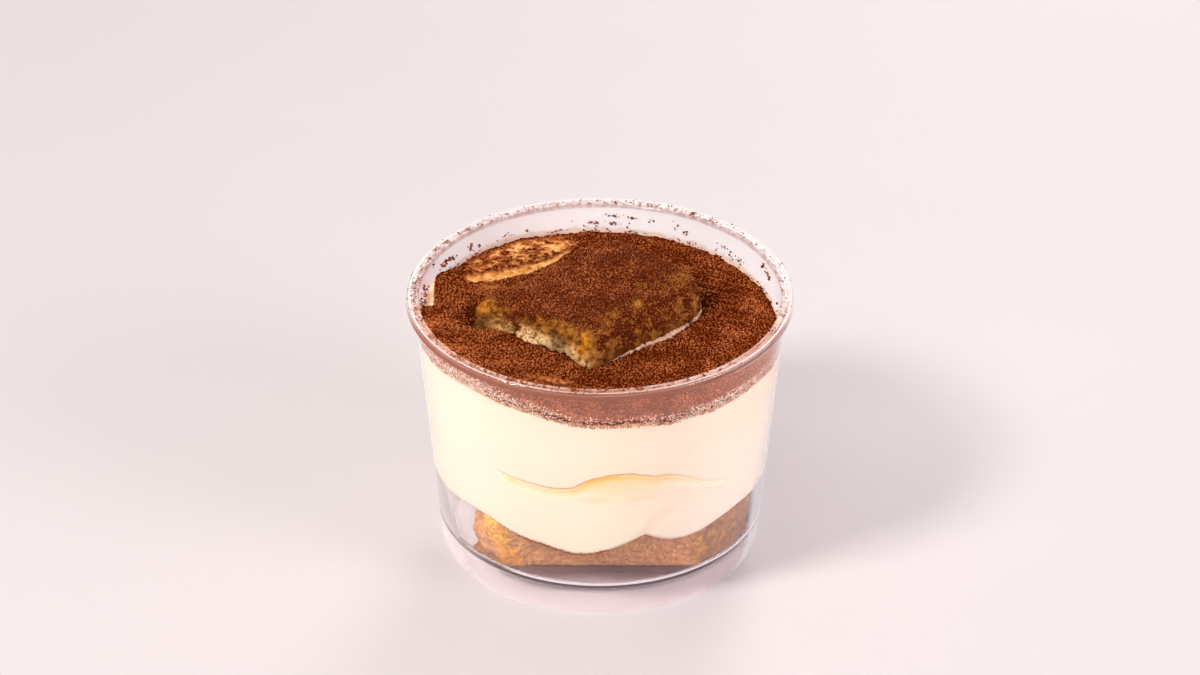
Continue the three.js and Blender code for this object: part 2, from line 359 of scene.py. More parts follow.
# Haze where the wall rounds away from the eye, with a painted sheen towards the very edge, and grey at +X as
# painted shade.
low_wall = clear.z.step(25.0, 21.0)
left_haze = facing.step(0.57, 0.76) * clear.x.step(-14.0, -26.0) * 0.5
right_haze = facing.step(0.68, 0.77) * clear.x.step(14.0, 26.0) * 0.72
rounded_away = facing.step(0.70, 0.98) * clear.z.step(66.5, 64.0) * low_wall.step(0.0, 1.0, 0.45, 0.0)
rounded_away = rounded_away + (left_haze + right_haze) * low_wall
haze_sheen_and_shade = clear.two_tone(clear.x.step(0.0, 20.0), (0.97, 0.88, 0.89), (0.78, 0.775, 0.80))

# Lamps shine straight through the thin wall.
lamp_ray = clear.node("ShaderNodeLightPath")["Is Shadow Ray"]
straight = clear.coat((0.96, 0.95, 0.955), "ShaderNodeBsdfTransparent")

FILMS = [  # on the plastic, from the first to the last: how much of it is covered, and by what
    (skirt, (0.95, 0.80, 0.82)),
    (rounded_away, haze_sheen_and_shade),
    (foot_ring, (0.95, 0.88, 0.92)),
    (foot_line, (0.15, 0.12, 0.15)),
    (left_line, (0.26, 0.20, 0.21)),
    (sponge_shadow, (0.12, 0.045, 0.045)),
    (back_wall, back_glow),
    (flange, flange_film),
    (edge_face, (0.33, 0.115, 0.072)),
    (lip_line, (0.50, 0.26, 0.22)),
    (back_veil, (0.95, 0.70, 0.54)),
    (veil, (0.76, 0.25, 0.12)),
    (pale_veil, (0.88, 0.37, 0.20)),
    (rim_dust, (0.42, 0.12, 0.05)),
    (lamp_ray, straight),
]
wall = Wire(clear, clear.shader.outputs["BSDF"])
for share, film in FILMS:
    wall = clear.covered(wall, share, film)
clear.tree.links.new(wall.socket, clear.tree.nodes["Material Output"].inputs["Surface"])
cup.data.materials.append(clear.material)
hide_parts("cup")
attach(cup, "root")

# ---------------------------------------------------------------------------------------------
# Soaked sponge finger on the floor. Baked sponge dipped in coffee, pressed in until it fills the
# cup's width: straight front and back, torn open at -X, squeezed against the wall at +X.
BASE_TOP = 22.0
BASE_BOTTOM = FLOOR_TOP + 0.15
BASE_FRONT = 32.2
BASE_BACK = 31.0
BASE_COLUMNS = 480
BASE_ROWS = 96
TORN_SIDE = -85
FOOT_REACH = 39.7
WALL_GAP = 0.05


def ball(columns, rows):
    """A unit ball whose rows are then laid out as the rings of a piece."""
    body = bmesh.new()
    bmesh.ops.create_uvsphere(body, u_segments=columns, v_segments=rows, radius=1)
    return body


def pores(x, y, z, size, share):
    """Depth from 0 to 1 of open bubbles about that size, in about that share of the surface."""
    spot = Vector((x, y, z)) / size
    nearest = noise.voronoi(spot)[0][0]
    here = noise.noise(spot * 0.45 + Vector((7, 3, 1)))
    return rise(share - 0.35 + 0.5 * here - nearest, -0.1, 0.25)


def uneven(spot, *waves):
    """A sum of noises at a place, each given as its depth and the size of its blobs."""
    return sum(depth * noise.noise(spot / size) for depth, size in waves)


def press_out(body, relief):
    """Moves each vertex along its normal by relief(vertex) millimetres."""
    body.normal_update()
    moves = [(vert, vert.normal * relief(vert)) for vert in body.verts]
    for vert, move in moves:
        vert.co += move


TORN_END = [  # height, how far the torn end stands from the axis
    (8, 29.3), (9.3, 29.0), (10.0, 28.0), (10.8, 27.3), (11.7, 27.8), (12.8, 29.4), (14.1, 30.4),
    (15.6, 30.8), (16.9, 30.2), (18.2, 28.7), (19.6, 28.2), (22, 28.2),
]
STRIP = [  # height, angles between which the left crumb is dry and orange
    (8, -38.5, -29), (9.5, -38, -29.5), (11.2, -37.4, -30.5), (13.5, -38.4, -31.5), (15, -40.4, -33.5),
    (17.5, -43, -34), (20, -45, -35.5), (21.5, -47, -38), (22.5, -49, -43),
]
# Dark spots of painted shade in a pit and in creases.
DARK_SPOTS = [  # height and its spread, angle and its spread, how dark
    (10.8, 1.4, -41.5, 3.4, 1.2), (14.6, 0.7, -44, 3, 0.5), (19.8, 0.8, 41, 2.0, 0.7),
    (17.2, 1.2, 30.5, 1.3, 0.5),
]
base_rows = [  # share of the way up the ball, height, inset
    (0.0, BASE_BOTTOM, 40), (0.12, BASE_BOTTOM, 0.9), (0.16, FLOOR_TOP + 0.6, 0.1),
    (0.2, FLOOR_TOP + 1.5, 0), (0.66, 19.6, 0), (0.75, BASE_TOP - 0.6, 0.4),
    (0.8, BASE_TOP, 1.5), (1.0, BASE_TOP, 40),
]


def base_reach(angle, z):
    """How far the sponge reaches from the cup's axis at an angle and a height."""
    a = math.radians(angle)
    straight = min(
        BASE_FRONT / max(math.cos(a), 0.01),
        BASE_BACK / max(-math.cos(a), 0.01),
        between(z, TORN_END)[0] / max(-math.sin(a), 0.01),
    )
    foot = max(0, FOOT_REACH - straight) * rise(z, 9.5, 9.0)
    foot *= rise(angle, -54.8, -52.6) * rise(angle, -38, -42)
    return straight + foot


base = ball(BASE_COLUMNS, BASE_ROWS)
orange_layer = base.verts.layers.float.new("orange")
shade_layer = base.verts.layers.float.new("shade")
for vert in base.verts:
    share = math.acos(min(max(-vert.co.z, -1), 1)) / math.pi
    angle = angle_of(vert.co.x, vert.co.y)
    z, inset = between(share, base_rows)
    torn = bump(angle, TORN_SIDE, 46)
    a = math.radians(angle)
    reach = base_reach(angle, z)
    spot = Vector((reach * math.sin(a), -reach * math.cos(a), z))
    ragged = uneven(spot, (1.5, 3.1), (0.9, 1.3))
    reach += ragged * (0.1 + 0.75 * torn) * (1 - 0.8 * bump(angle, -52, 15))
    reach = max(0, min(reach, inner_radius(z) - WALL_GAP) - inset * reach / 40)
    vert.co = (reach * math.sin(a), -reach * math.cos(a), z)
    shift = angle + uneven(spot, (1.8, 2.2), (0.8, 0.8))
    far, near = between(z, STRIP)
    left_crumb = rise(shift, far - 1, far + 1) * rise(shift, near + 0.8, near - 0.8)
    foot_crumb = 0.85 * rise(z, 11.0, 10.0) * rise(shift, -30, -36)
    right_crumb = 0.62 * rise(shift, 33, 38) * rise(shift, 60, 52) * rise(z, 20.5, 16.5)
    far_side = 0.8 * rise(abs(angle), 75, 95) * (0.5 + noise.noise(spot / 5))
    dark_spots = sum(
        depth * bump(z, height, tall) * bump(shift, middle, wide)
        for height, tall, middle, wide, depth in DARK_SPOTS
    )
    foot_shade = 0.8 * rise(z, 11.2, 10.0) * rise(shift, -42, -46) * (0.6 + 1.2 * noise.noise(spot / 1.1))
    far_left_shade = 0.3 * rise(shift, -45, -50)
    crumb_shade = rise(angle, 33, 40) * (0.8 + uneven(spot, (0.6, 1.5), (0.35, 0.6)))
    shade = dark_spots + max(0, foot_shade) + far_left_shade + crumb_shade
    vert[shade_layer] = max(0, min(1, shade))
    vert[orange_layer] = max(left_crumb, foot_crumb * rise(-angle, 80, 60), right_crumb, far_side)
bmesh.ops.remove_doubles(base, verts=base.verts, dist=1e-4)


def base_relief(vert):
    x, y, z = vert.co
    if z < BASE_BOTTOM + 0.3 or z > BASE_TOP - 0.3:
        return 0
    torn = bump(angle_of(x, y), TORN_SIDE, 48)
    rough = uneven(vert.co, (0.3, 1.1), (0.2, 0.55))
    open_crumb = pores(x, y, z, 1.6, 0.42 + 0.25 * torn) + 0.6 * pores(x, y, z, 0.9, 0.5)
    near, next_near = noise.voronoi(vert.co / 3.4)[0][:2]
    cracks = rise(0.16 - (next_near - near), 0, 0.16)
    return rough - (0.2 + 0.6 * torn) * open_crumb - 0.45 * torn * cracks


press_out(base, base_relief)
base_low = BASE_BOTTOM - 0.1
for vert in base.verts:
    vert.co.z = max(vert.co.z, base_low)
    reach = math.hypot(vert.co.x, vert.co.y)
    limit = inner_radius(vert.co.z) - WALL_GAP
    if reach > limit:
        vert.co.x *= limit / reach
        vert.co.y *= limit / reach
soaked_base = finish_mesh(base, "soaked_sponge_base")

soaked = Finish("soaked_sponge", roughness=0.62, subsurface_weight=0.2,
                subsurface_radius=(1.0, 0.45, 0.2), subsurface_scale=0.001)
clouds = soaked.noise(4.5, 3.0)
crumb_noise = soaked.noise(0.9, 4.0, 0.65)
wet = soaked.blend(crumb_noise.step(0.36, 0.66), (0.55, 0.215, 0.065), (0.88, 0.42, 0.168))
damp = soaked.blend(clouds.step(0.42, 0.62), wet, soaked.blend(0.5, wet, (0.64, 0.29, 0.115)))
dry_light = soaked.blend(soaked.z.step(10.0, 19.0), (0.76, 0.30, 0.018), (0.96, 0.50, 0.06))
dry = soaked.blend(crumb_noise.step(0.34, 0.60), (0.58, 0.20, 0.014), dry_light)
blotches = (clouds - 0.5) * 0.35 + (crumb_noise - 0.5) * 0.35
orange = (soaked.attribute("orange") * 1.3 + blotches).step(0.3, 0.62)
sponge = soaked.blend(orange, damp, dry)
# Painted shade in the sponge's open pores.
pore_shade = (soaked.cells(1.3) + (soaked.noise(0.5) - 0.5) * 0.5).step(0.34, 0.1)
sponge = soaked.blend(pore_shade * 0.5, sponge, (0.26, 0.09, 0.02))
soaked.feed(soaked.shader.inputs["Base Color"],
            soaked.blend(soaked.attribute("shade") * 0.85, sponge, (0.14, 0.032, 0.004)))
soaked.bumped(soaked.noise(0.6, 4.0, 0.7) + soaked.cells(0.7) * 0.8, 0.3, 0.8)
soaked_base.data.materials.append(soaked.material)
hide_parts("ladyfinger_base")
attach(soaked_base, "root")

# ---------------------------------------------------------------------------------------------
# Cream. Whipped mascarpone and egg, spooned in over the sponge in two lobes that are pressed
# flat against the wall. The fold between spoonfuls stays open as a crease in the side.
INTO_WALL = 0.12
CREASE_DEPTH = 0.3
CREAM_STEPS = 320
CREAM_UNDER = 16.5
SPUN_RADIUS = 41
HALF_TURN = math.radians(46)
HALF_CENTRE = (0.3, 4.6)
HALF_LENGTH = 23.5
HALF_BREAK = 22.6
HALF_WIDTH = 19.4
HALF_BOTTOM = 55.8
HALF_TOP = 67.4
HEM = [  # angle, height of the cream's lower edge at the wall
    (-180, 21.4), (-150, 22.6), (-120, 21.8), (-95, 21.9), (-75, 22.3), (-64, 22.3), (-58, 22.8),
    (-50, 23.3), (-41.5, 23.1), (-37, 22.4), (-34.5, 21.6), (-31.5, 20.9), (-25, 20.0), (-17, 19.3),
    (-14.2, 18.7), (-10.4, 18.0), (-6, 17.9), (-2.5, 18.2), (1.5, 19.1), (6.6, 20.6), (10, 21.6),
    (13.5, 22.7), (15.8, 23.3), (17.5, 22.7), (20.7, 21.4), (25, 20.3), (30, 19.9), (37, 20.1),
    (45, 21.2), (54, 21.9), (70, 21.6), (95, 21.6), (120, 22.3), (150, 21.2), (180, 21.4),
]
CREASE = [  # angle, height of the fold between the two lobes, how open it is
    (-180, 36.8, 0), (-70, 38.6, 0), (-50, 37.8, 0), (-37, 39.0, 0), (-33.5, 38.5, 0.45),
    (-30.6, 37.8, 0.75), (-27.5, 37.6, 0.6), (-22, 37.4, 0.6), (-16.8, 37.1, 0.7), (-11, 37.4, 0.7),
    (-8.5, 38.1, 0.85), (-5, 39.9, 1), (-2.5, 41.0, 1), (0.5, 41.5, 1), (3, 41.9, 1), (7, 42.1, 1),
    (10.2, 42.1, 0.9), (14, 41.2, 0.8), (18, 40.4, 0.75), (21, 40.3, 0.8), (24, 39.9, 0.7),
    (28, 38.7, 0.55), (31, 37.5, 0.5), (37, 34.8, 0.4), (44, 32.8, 0.35), (50, 32.2, 0.12),
    (60, 32.6, 0), (180, 36.8, 0),
]


def cream_hem(angle):
    wobble = 0.25 * noise.noise(Vector((angle / 2.1, 3.1, 0)))
    wobble += 0.2 * noise.noise(Vector((angle / 0.9, 1, 8)))
    return between(angle, HEM)[0] + wobble * rise(abs(angle + 18), 42, 12)


def cream_crease(angle):
    height, openness = between(angle, CREASE)
    return height + 0.22 * noise.noise(Vector((angle / 2.6, 0.5, 2))), openness


def half_outline(theta):
    """Reach of the half finger from its centre, theta turning from its round end."""
    along, across = math.cos(theta), math.sin(theta)
    if along < 0:
        off = math.degrees(math.asin(across))
        notch = 2.7 * bump(off, -18.5, 5) + 0.9 * bump(off, -6, 9) + 1.7 * bump(off, -29, 10)
        length, squareness = HALF_BREAK + 6.4 * bump(off, 36, 8) - notch, 12 if off > 0 else 9
    else:
        length, squareness = HALF_LENGTH, 3.5
    width = HALF_WIDTH - (1.6 * rise(-along, -0.45, 0.8) if across < 0 else 0)
    total = abs(along / length) ** squareness + abs(across / width) ** squareness
    return total ** (-1 / squareness)


def half_local(x, y):
    """The same point along and across the half finger, from its centre."""
    dx, dy = x - HALF_CENTRE[0], y - HALF_CENTRE[1]
    u = dx * math.cos(HALF_TURN) + dy * math.sin(HALF_TURN)
    v = -dx * math.sin(HALF_TURN) + dy * math.cos(HALF_TURN)
    return u, v


def half_to_cup(u, v):
    x = HALF_CENTRE[0] + u * math.cos(HALF_TURN) - v * math.sin(HALF_TURN)
    y = HALF_CENTRE[1] + u * math.sin(HALF_TURN) + v * math.cos(HALF_TURN)
    return x, y


def outside_half(x, y):
    """Rough distance outside the half finger's outline, negative under it."""
    u, v = half_local(x, y)
    return math.hypot(u, v) - half_outline(math.atan2(v, u))


side_heights = [18.4 + 0.75 * n for n in range(23)]
crease_heights = [35.4 + 0.22 * n for n in range(17)]
upper_heights = [39.8 + 0.9 * n for n in range(20)] + [57.4, 58.25]
cream_profile = [(radius, CREAM_UNDER) for radius in (0, 12, 22, 27, 30, 32, 33.5, 35, 36.5, 38, 39)]
cream_profile += [(39.8, 16.8), (40.3, 17.4)]
cream_profile += [(SPUN_RADIUS, z) for z in side_heights + crease_heights + upper_heights]
cream_profile += [(40.85, 58.4), (40, CREAM_TOP)]
cream_profile += [(39.2 - 0.8 * n, CREAM_TOP) for n in range(49)] + [(0, CREAM_TOP)]
cream = spun(cream_profile, CREAM_STEPS)
crease_shade_layer = cream.verts.layers.float.new("fold")
below_top = cream.verts.layers.float.new("below_top")
above_hem = cream.verts.layers.float.new("above_hem")
CREASE_ROW = 37.6
for vert in cream.verts:
    x, y, z = vert.co
    angle = angle_of(x, y)
    share = math.hypot(x, y) / SPUN_RADIUS
    hem = cream_hem(angle)
    crease, openness = cream_crease(angle)
    a = math.radians(angle)
    if z >= CREAM_TOP - 0.01:
        radius = share * FILL_RADIUS
        z = cream_top(radius * math.sin(a), -radius * math.cos(a))
        if outside_half(radius * math.sin(a), -radius * math.cos(a)) < -0.8:
            z = HALF_BOTTOM - 0.25
    elif z <= CREAM_UNDER + 0.1:
        radius = share * inner_radius(hem)
        belly = hem - 0.9 + 1.5 * rise(inner_radius(hem) - radius, 2, 9)
        above_base = radius < base_reach(angle, 18) + 0.2
        z = BASE_TOP + 0.2 if above_base else belly
    else:
        rows = [(CREAM_UNDER + 0.1, hem - 0.9), (18.4, hem), (CREASE_ROW, crease), (58.4, edge_height(angle))]
        (z,) = between(z, rows)
        under = crease - z
        lip = bump(under, 0, 0.3) if under < 0 else math.exp(-under / (1.1 + 0.9 * openness))
        glow = bump(under, 0, 0.45) if under < 0.5 else math.exp((0.5 - under) / 2.0)
        smile = bump(z, 34.6, 0.9) * (bump(angle, -1, 6) + 0.8 * bump(angle, 12, 5))
        seam = bump(angle - 15.6 - 1.45 * (z - 23.4), 0, 2.4) * rise(z, 31.5, 27)
        radius = inner_radius(z) + INTO_WALL
        press = CREASE_DEPTH * openness * lip + 0.02 * smile + 0.12 * seam
        if press > 0.04:
            radius -= press + INTO_WALL
        # The fold layer is painted shade: yellow in the open crease, in the soft dent under it and along the
        # seam from the notch.
        shade_under_crease = 0.28 * bump(z, 37.6, 2.3) * bump(angle, 7, 12)
        vert[crease_shade_layer] = min(1, 0.95 * openness * glow + 0.35 * smile + 0.3 * seam + shade_under_crease)
        if share < 1:
            radius -= (1 - share) * SPUN_RADIUS
    vert[below_top] = edge_height(angle) - z
    vert[above_hem] = z - hem + 3 * rise(abs(angle + 17), 17, 24)
    vert.co = (radius * math.sin(a), -radius * math.cos(a), z)
bmesh.ops.recalc_face_normals(cream, faces=cream.faces)
cream_body = finish_mesh(cream, "cream_body")

whipped = Finish("whipped_cream", roughness=0.42, subsurface_weight=0.35,
                 subsurface_radius=(1.0, 0.62, 0.3), subsurface_scale=0.0016, ior=1.4)
tints = whipped.noise(16.0, 2.0)
tone_and_painted_light = whipped.blend(tints.step(0.35, 0.65), (0.965, 0.85, 0.70), (0.96, 0.835, 0.665))
# Paler towards -X and low at +X: painted light.
tone_and_painted_light = whipped.blend(whipped.x.step(0.0, -40.0), tone_and_painted_light, (0.965, 0.865, 0.735))
tone_and_painted_light = whipped.blend(whipped.x.step(8.0, 35.0) * whipped.z.step(50.0, 34.0), tone_and_painted_light, (0.955, 0.87, 0.75))
# The crease's yellow is painted shade.
folded = whipped.blend(whipped.attribute("fold").step(0.0, 1.0), tone_and_painted_light, (0.95, 0.56, 0.10))
lace = (whipped.noise(0.8, 4.0, 0.75) * 3.2 - 1.35 - whipped.attribute("above_hem")).step(-0.15, 0.15)
folded = whipped.blend(lace, folded, (0.55, 0.28, 0.12))
edge_noise = whipped.noise(0.9, 4.0, 0.7) * 2.2 - 1.1
stained = (edge_noise - whipped.attribute("below_top")).step(-0.3, 0.1)
whipped.feed(whipped.shader.inputs["Base Color"], whipped.blend(stained, folded, (0.60, 0.25, 0.14)))
whipped.bumped(whipped.noise(3.0, 3.0, 0.5), 0.1, 0.4)
cream_body.data.materials.append(whipped.material)
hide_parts("cream")
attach(cream_body, "root")

# ---------------------------------------------------------------------------------------------
# Cocoa skin. Unsweetened cocoa sieved over the whole top, lying in damp clumps. It is thin and
# patchy over the swept cream at the far left, and open where the half finger stands in it.
COCOA_LIFT = 1.4
COCOA_INTO_CREAM = 0.25
COCOA_CELLS = 262
UNDER_HALF = 1.2
COCOA_RADIUS = inner_radius(CREAM_TOP + 0.5) + INTO_WALL
SWEEP = [  # along the spoon's line: its front edge and its back edge
    (-17, -0.4, 1.0), (-15, -1.4, 1.4), (-12.8, -2.4, 0.9), (-10.4, -3.2, 0.4), (-7, -3.9, -0.3),
    (-4, -4.3, -0.6), (0, -4.6, -0.7), (4.8, -3.9, -0.8), (7.5, -3.1, -0.8), (10.4, -1.9, -0.3),
    (13.8, -0.3, 0.8), (18, 0.8, 1.2),
]


def bareness(x, y):
    """How little cocoa lies at a point, 0 to 1."""
    spot = Vector((x, y, 0))
    along = along_sweep(x, y)
    behind = behind_sweep(x, y) + uneven(spot, (0.45, 2.2), (0.3, 0.9))
    front_edge, back_edge = between(along, SWEEP)
    to_wall = FILL_RADIUS - math.hypot(x, y)
    ends = rise(along, -17.2, -13.5) * rise(along, 18, 12.5)
    streak = rise(behind, front_edge - 0.3, front_edge + 0.6) * rise(behind, back_edge + 0.9, back_edge - 0.8)
    streak *= 1 - 0.5 * rise(noise.noise(spot / 1.1), 0.2, 0.5)
    flat = Vector((x * 0.6, y * 1.1, 0))
    clouds = 0.41 + uneven(flat, (0.8, 1.5), (0.8, 0.6))
    clouds += 0.5 * bump(along, 4, 3.5) * bump(behind, 7.5, 2.6)
    clouds += 0.6 * bump(along, 12, 3.5) * bump(behind, 3.0, 2.4)
    patch = rise(behind, back_edge, back_edge + 1.2) * rise(to_wall, 0.2, 2.0) * min(max(clouds, 0), 0.85)
    smudge_along = 0.938 * (x + 11.5) - 0.347 * (y + 27.2)
    smudge_across = 0.347 * (x + 11.5) + 0.938 * (y + 27.2)
    front_thin = bump(smudge_along, 0, 6) * bump(smudge_across, 0, 1.8)
    front_thin *= 0.55 + 0.6 * noise.noise(spot / 1.2)
    scraped = rise(-x, 40.9, 41.3) * rise(y, 6.4, 7.4) * rise(y, 20.5, 18.5)
    smudge = 0.5 * bump(x, -27, 3.5) * bump(y, 16.3, 1.3)
    patch *= rise(along, -16, -9) * rise(along, 20, 15)
    return min(1, max(ends * streak, patch, front_thin, smudge, scraped))


def shaded_hollows(x, y):
    """Where the cocoa sinks in hollows and is painted dark as shade: close round the half finger."""
    gap = outside_half(x, y)
    if gap > 9:
        return 0
    hollow = 1.15 * bump(x, -31.8, 2.6) * bump(y, 3.2, 4.0)
    notch = 0.9 * bump(x, -8.4, 3.2) * bump(y, -14.0, 2.0)
    round_end = 0.8 * bump(x, 25.5, 2.2) * bump(y, 13.5, 5.0)
    return min(1, hollow + notch + round_end + 0.45 * bump(gap, 0.0, 1.1))


def clumps(x, y):
    """Height in millimetres of the cocoa's lumps."""
    spot = Vector((x, y, 0))
    coarse = 1 - noise.voronoi(spot / 1.1)[0][0]
    fine = 1 - noise.voronoi(spot / 0.62 + Vector((5, 5, 5)))[0][0]
    swells = uneven(spot, (1, 5.5), (0.6, 2.4))
    return 0.62 * coarse + 0.3 * fine + 0.3 * swells - 0.72


def cocoa_top(x, y):
    bare = bareness(x, y)
    ridges = 0.28 * math.sin(2.1 * (y + 0.35 * x) + 1.6 * noise.noise(Vector((x, y, 2)) / 6))
    ridges *= bump(x, 31, 9) * bump(y, 12, 13)
    lumps = clumps(x, y) * (1 - 0.88 * bare)
    climb = 2.4 * bump(angle_of(x, y), -112.5, 8.5) * rise(math.hypot(x, y) / FILL_RADIUS, 0.85, 0.99)
    return cream_top(x, y) + COCOA_LIFT + lumps + ridges + climb - 0.75 * bare - 0.8 * shaded_hollows(x, y)


cocoa = bmesh.new()
bmesh.ops.create_grid(cocoa, x_segments=COCOA_CELLS, y_segments=COCOA_CELLS, size=COCOA_RADIUS)
spare = [
    vert for vert in cocoa.verts
    if vert.co.length > COCOA_RADIUS or outside_half(vert.co.x, vert.co.y) < -UNDER_HALF
]
bmesh.ops.delete(cocoa, geom=spare, context="VERTS")
for vert in cocoa.verts:
    if vert.is_boundary and vert.co.length > 0.9 * COCOA_RADIUS:
        rim = inner_radius(cocoa_top(vert.co.x, vert.co.y)) + INTO_WALL
        vert.co *= rim / vert.co.length
bare_layer = cocoa.verts.layers.float.new("bare")
shaded_hollow_layer = cocoa.verts.layers.float.new("damp")
hem_layer = cocoa.verts.layers.float.new("hem")
for vert in cocoa.verts:
    x, y = vert.co.x, vert.co.y
    vert[bare_layer] = bareness(x, y)
    vert[shaded_hollow_layer] = shaded_hollows(x, y)
    vert.co.z = cocoa_top(x, y)
underside = bmesh.ops.extrude_face_region(cocoa, geom=cocoa.faces[:])["geom"]
for vert in underside:
    if isinstance(vert, bmesh.types.BMVert):
        ragged = uneven(vert.co, (0.6, 0.8), (0.25, 2.3))
        vert.co.z = cream_top(vert.co.x, vert.co.y) - COCOA_INTO_CREAM + ragged
        vert[hem_layer] = 1
bmesh.ops.recalc_face_normals(cocoa, faces=cocoa.faces)
cocoa_skin = finish_mesh(cocoa, "cocoa_skin")
for polygon in cocoa_skin.data.polygons:
    polygon.use_smooth = abs(polygon.normal.z) > 0.3


def cocoa_colour(finish, bed):
    """Cocoa: a dark bed under lighter grains, more orange towards -X, and a little lighter towards +X as
    painted light.
    """
    patches = finish.noise(6.0, 3.0)
    grain = finish.noise(0.8, 2.0, 0.6)
    tone = (grain - 0.5) * 1.45 + (patches - 0.5) * 1.3 + (0.36 - bed)
    tone = tone + finish.x.step(10.0, -36.0) * 0.17 + finish.x.step(20.0, 40.0) * 0.08
    dark_half = finish.blend(tone.step(0.0, 0.5), (0.085, 0.010, 0.0007), (0.29, 0.066, 0.017))
    return finish.blend(tone.step(0.45, 0.95), dark_half, (0.62, 0.192, 0.062))


powder = Finish("cocoa_powder", roughness=0.95, specular_ior_level=0.0)
film = powder.attribute("bare") + (powder.noise(1.0, 4.0, 0.75) - 0.5) * 1.1
shown = powder.blend(powder.noise(2.5, 3.0).step(0.35, 0.65), (0.70, 0.27, 0.05), (1.0, 0.54, 0.20))
shown = powder.blend(powder.x.step(-37.0, -39.0), shown, (0.98, 0.70, 0.49))
thin_film = powder.blend(film.step(0.15, 0.5), cocoa_colour(powder, 0.4), (0.46, 0.14, 0.04))
sheet = powder.blend(film.step(0.46, 0.88), thin_film, shown)
# Towards its lower edge the skin's side is lighter: cream mixed into the cocoa, and painted light against the
# shade on that face.
hem_mixed_and_lit = powder.blend(powder.noise(0.9, 3.0, 0.7).step(0.42, 0.58), (0.40, 0.12, 0.05), (0.86, 0.42, 0.24))
sheet = powder.blend(powder.attribute("hem").step(0.25, 0.7) * 0.9, sheet, hem_mixed_and_lit)
# The damp layer is painted shade in the hollows round the half finger.
powder.feed(powder.shader.inputs["Base Color"],
            powder.blend(powder.attribute("damp") * 0.8, sheet, (0.055, 0.010, 0.003)))
powder.bumped(powder.noise(0.3, 3.0, 0.7), 0.15, 0.8)
cocoa_skin.data.materials.append(powder.material)
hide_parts("cocoa_layer")
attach(cocoa_skin, "root")

# ---------------------------------------------------------------------------------------------
# Broken half finger. The same baked sponge, dry: a crusted domed top under cocoa, round sides,
# and a torn face of open crumb. It is pushed a little way into the cream.
HALF_COLUMNS = 540
HALF_ROWS = 116
half_rows = [  # share of the way up the ball, height, crust inset, torn inset
    (0.0, HALF_BOTTOM, 19, 22), (0.08, HALF_BOTTOM, 1.4, 1.0), (0.11, 57.2, 0.2, 0),
    (0.17, 59.8, 0, 0), (0.26, 62.2, 0.5, 0.5), (0.35, 64.4, 1.7, 1.1), (0.43, 66.0, 3.6, 2.2),
    (0.5, 66.9, 6.6, 4.6), (0.66, 67.3, 12, 11), (1.0, HALF_TOP, 19, 22),
]
TORN_BORDER = [  # across, along: where the crust starts above the torn face
    (-19, -18.6), (-16.8, -18.1), (-13.3, -17.6), (-10, -16.6), (-7, -16.7), (-2.9, -17.7),
    (1.1, -19.3), (6.1, -20.5), (9.7, -21.4), (12.6, -22.6), (14.9, -23.1), (19, -25),
]
GOLDEN = [  # along, across, size, strength of the places where the crust shows through the cocoa
    (18.3, -11.2, 3.6, 1.1), (21.5, -6.5, 2.4, 0.7), (6.7, -7.3, 2.6, 0.9), (11.5, -9.5, 2.2, 0.6),
    (0.6, -11.7, 2.6, 1.15), (-11.2, -12.5, 2.2, 1.05), (-7.7, -11.5, 2.0, 1.0), (-14, -8.5, 1.8, 0.7),
    (-19.3, -15.5, 2.4, 1.1), (15.2, -17.2, 2.6, 1.0), (3.9, -18.7, 2.4, 0.9), (-5.1, -17.9, 2.4, 0.9),
    (-14.5, -17.3, 2.2, 0.9), (-1.1, -17.4, 2.0, 0.8),
]
# The pits are dented and painted dark as shade.
PITS = [  # along, across, size, depth of the dark pits in the crust
    (4.7, -6.1, 1.0, 0.9), (8.5, -9.9, 1.2, 0.8), (-5.2, -7.4, 1.5, 0.9), (-8.8, -5.8, 1.3, 0.8),
]


def torn_share(theta):
    return rise(-math.cos(theta), 0.35, 0.85)


def round_patch(u, v, at_u, at_v, size):
    return math.exp(-(((u - at_u) ** 2 + (v - at_v) ** 2) / size**2))


def patches_at(table, u, v):
    return max(strength * round_patch(u, v, at_u, at_v, size) for at_u, at_v, size, strength in table)


half = ball(HALF_COLUMNS, HALF_ROWS)
half_layers = {
    name: half.verts.layers.float.new(name) for name in ("torn", "dusted", "golden", "orange", "pale", "dark")
}
for vert in half.verts:
    share = math.acos(min(max(-vert.co.z, -1), 1)) / math.pi
    theta = math.atan2(vert.co.y, vert.co.x)
    z, crust_inset, torn_inset = between(share, half_rows)
    torn = torn_share(theta)
    outline = half_outline(theta)
    crust_inset *= 1 - 0.5 * rise(math.cos(theta), 0.1, 0.6) * (share < 0.6)
    inset = crust_inset + (torn_inset - crust_inset) * torn
    if share < 0.08 or share > 0.66:
        low = 12 - torn if share > 0.66 else 1.4 - 0.4 * torn
        inset = low + (outline - low) * (inset - low) / (19 + 3 * torn - low)
    reach = max(0, outline - inset)
    spot = Vector((reach * math.cos(theta), reach * math.sin(theta), z))
    lobes = 0.55 - noise.voronoi(spot / 4.2 + Vector((2, 7, 1)))[0][0]
    ragged = 1.5 * lobes + 0.8 * noise.noise(spot / 1.8) - 0.5
    reach += ragged * torn * rise(reach, 6, 15)
    off = math.degrees(math.asin(math.sin(theta)))
    filled = 2.4 * bump(off, -18.5, 5) * rise(z, 60.5, 64.5) if math.cos(theta) < 0 else 0
    reach += filled * rise(reach, 8, 15)
    u, v = reach * math.cos(theta), reach * math.sin(theta)
    dome = noise.noise(spot / 6) * 0.5 - 0.25 * bump(v, -8, 3)
    x, y = half_to_cup(u, v)
    vert.co = (x, y, min(z + dome * rise(z, 63, 66), HALF_TOP - 0.2))
    vert[half_layers["torn"]] = torn
